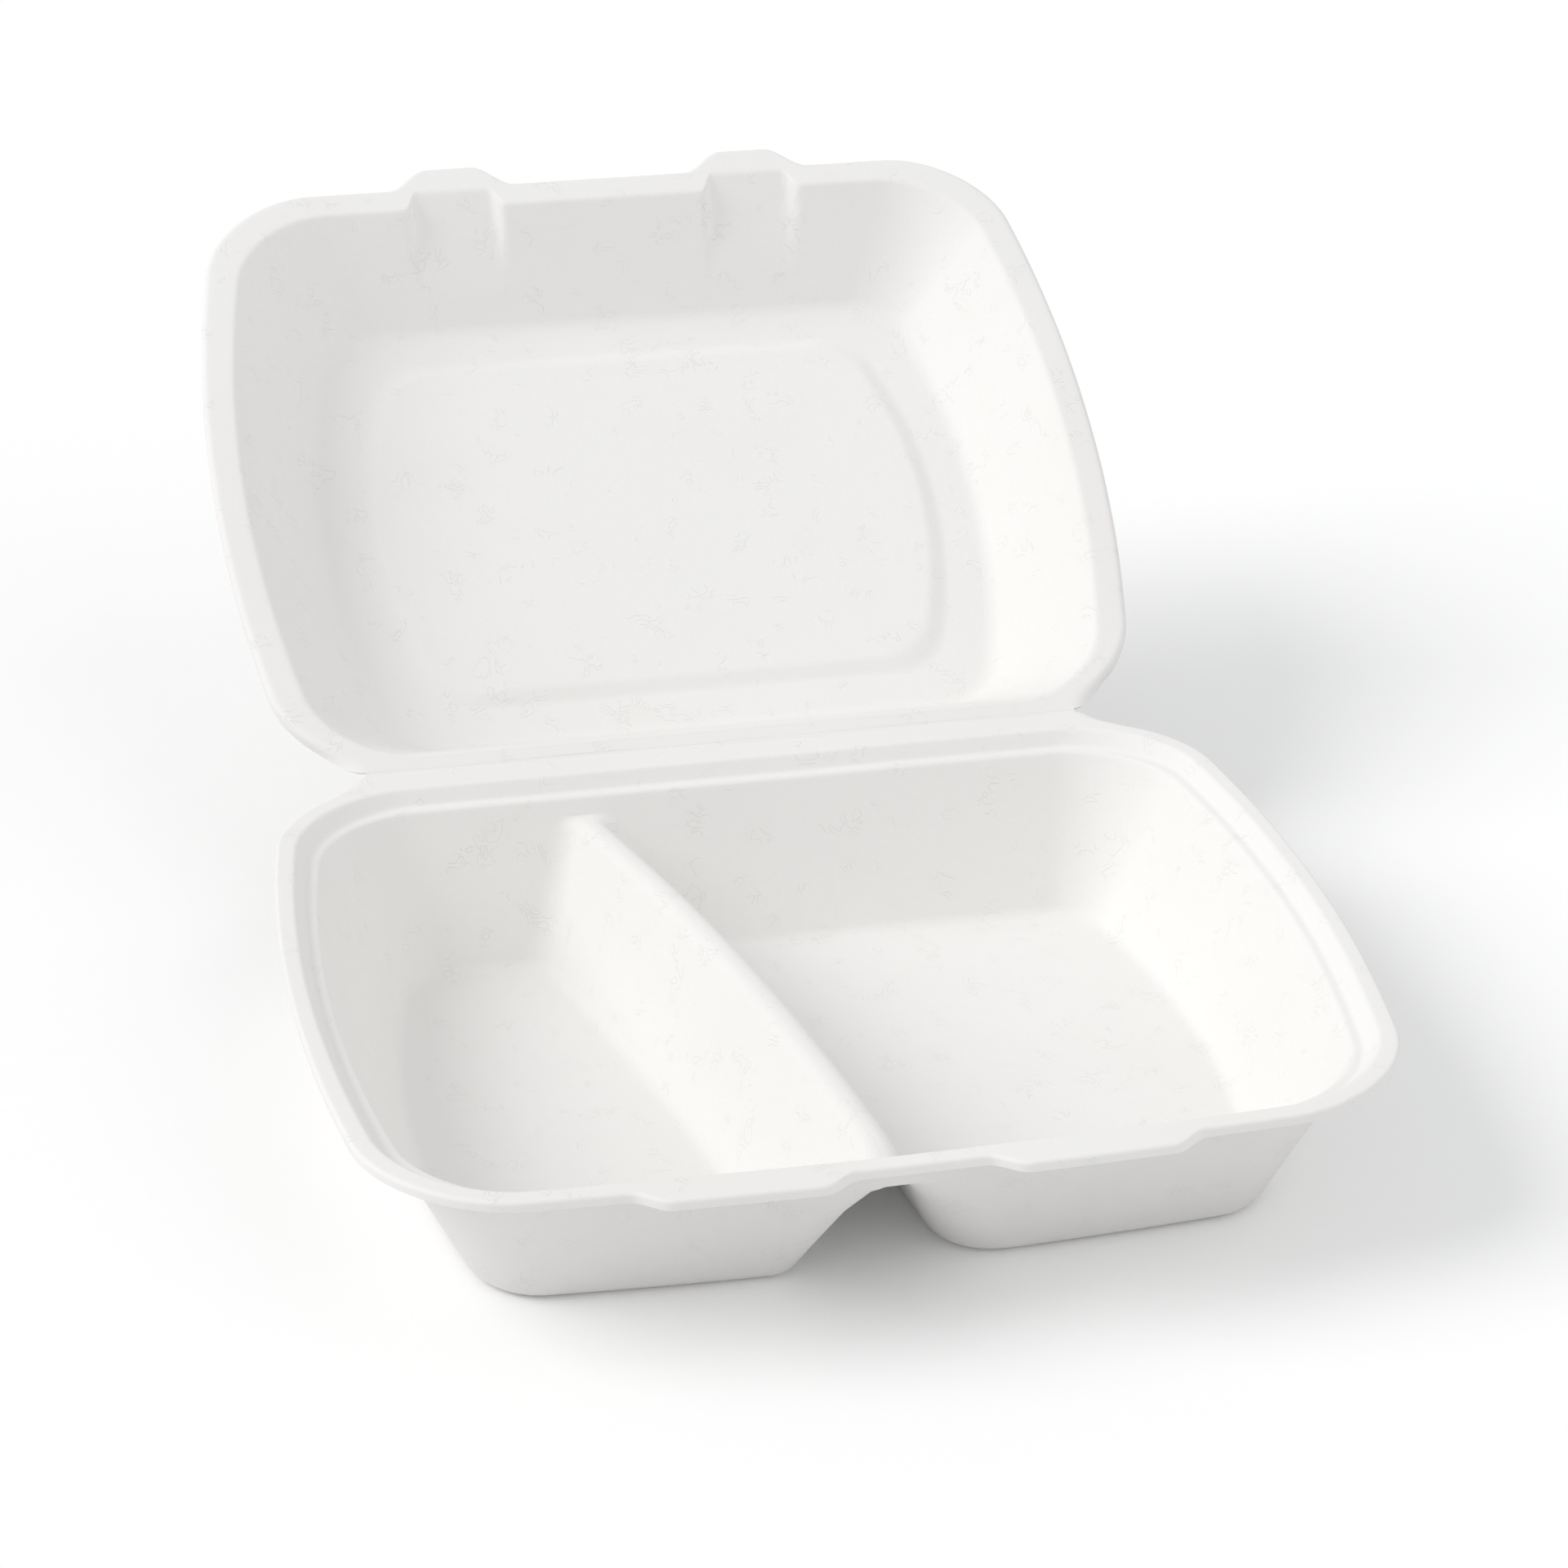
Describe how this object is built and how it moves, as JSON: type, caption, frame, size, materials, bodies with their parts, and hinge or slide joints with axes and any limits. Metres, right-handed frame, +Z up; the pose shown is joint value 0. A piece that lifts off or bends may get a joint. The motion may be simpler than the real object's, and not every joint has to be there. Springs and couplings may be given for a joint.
{
  "type": "clamshell food container",
  "caption": "Shallow moulded-fibre takeaway box with a hinged domed lid lying back open, a diagonal divider in the tray, closing lips on the tray and matching tabs on the lid.",
  "frame": {"origin": "middle of the part's extent in X and Y with the lid as modelled, at the height of the table under the tray's feet", "axes": "+X to the right along the crease, +Y from the tray's front edge towards the crease and the lid, +Z up out of the tray"},
  "size_m": [0.242, 0.3796, 0.1348],
  "materials": {
    "moulded_fibre": "uncoated moulded sugarcane pulp, matt, warm white, with fine fibre flecks"
  },
  "bodies": {
    "tray": {"base": "moulded_fibre"},
    "lid": {"lid": "moulded_fibre"}
  },
  "joints": [
    {"name": "lid_hinge", "type": "hinge", "parent": "tray", "child": "lid", "pos_m": [0, 0.01236, 0.0422], "axis": [1, 0, 0], "range_deg": [-28, 152]}
  ]
}
